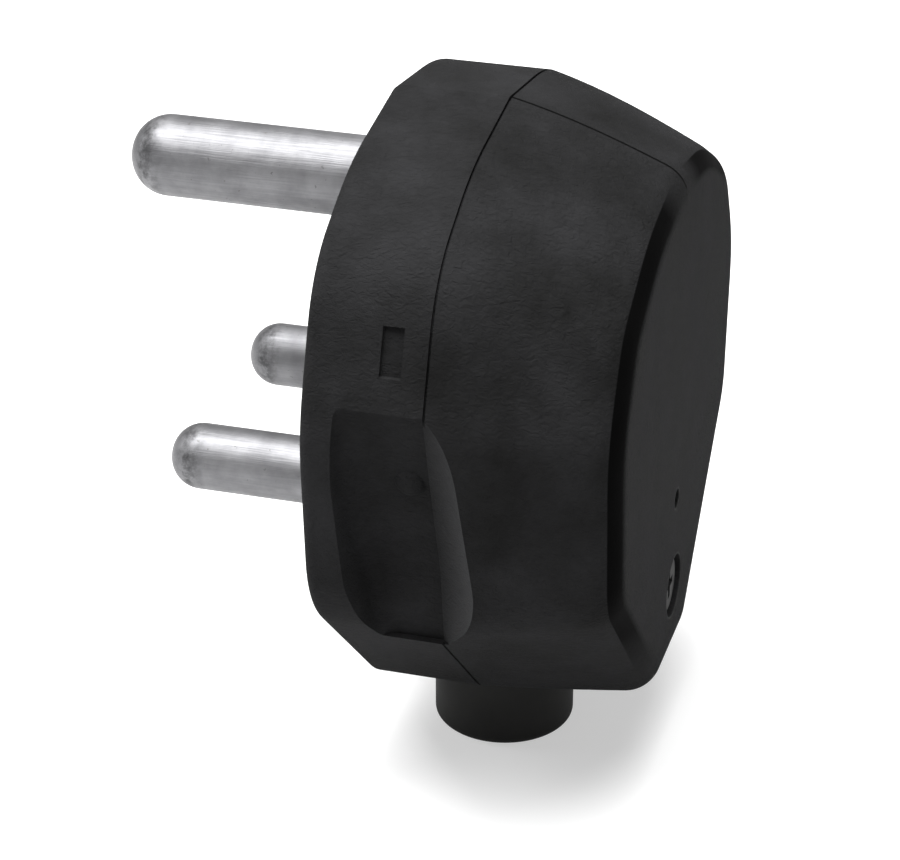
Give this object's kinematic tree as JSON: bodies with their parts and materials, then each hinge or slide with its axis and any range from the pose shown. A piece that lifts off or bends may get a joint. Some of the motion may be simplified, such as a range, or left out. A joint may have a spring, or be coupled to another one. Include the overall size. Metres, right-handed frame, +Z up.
{
  "type": "three-pin plug top",
  "caption": "Rewirable round-pin plug with a moulded body and screwed rear cover, finger scoops in its sides and a collared cord entry below.",
  "frame": {"origin": "on the face that the pins stand out of, midway between the live and the neutral pin", "axes": "+Y along the pins towards the socket, +Z up to the earth pin, +X to the right seen from the rear cover"},
  "size_m": [0.0652, 0.06, 0.0735],
  "materials": {
    "front_moulding": "fine grain, semi-matte",
    "rear_cover": "fine grain, semi-matte",
    "cord_grommet": "matte",
    "cord_grip_bar": "semi-matte",
    "pins": "nickel plated, satin",
    "clamp_washers": "plain",
    "brass_inserts": "turned",
    "steel_screws": "zinc plated",
    "cover_screw": "blackened",
    "fibre_washer": "vulcanised fibre"
  },
  "bodies": {
    "root": {"front_moulding": "front_moulding", "rear_cover": "rear_cover", "cord_grommet": "cord_grommet", "cord_grip_bar": "cord_grip_bar", "cover_insert": "brass_inserts", "cord_grip_insert_left": "brass_inserts", "cord_grip_insert_right": "brass_inserts", "cover_screw": "cover_screw", "cover_screw_washer": "fibre_washer", "cord_grip_screw_left": "steel_screws", "cord_grip_screw_right": "steel_screws", "earth_pin": "pins", "live_pin": "pins", "neutral_pin": "pins", "earth_terminal_washer": "clamp_washers", "live_terminal_washer": "clamp_washers", "neutral_terminal_washer": "clamp_washers", "earth_terminal_screw": "steel_screws", "live_terminal_screw": "steel_screws", "neutral_terminal_screw": "steel_screws"}
  },
  "joints": []
}
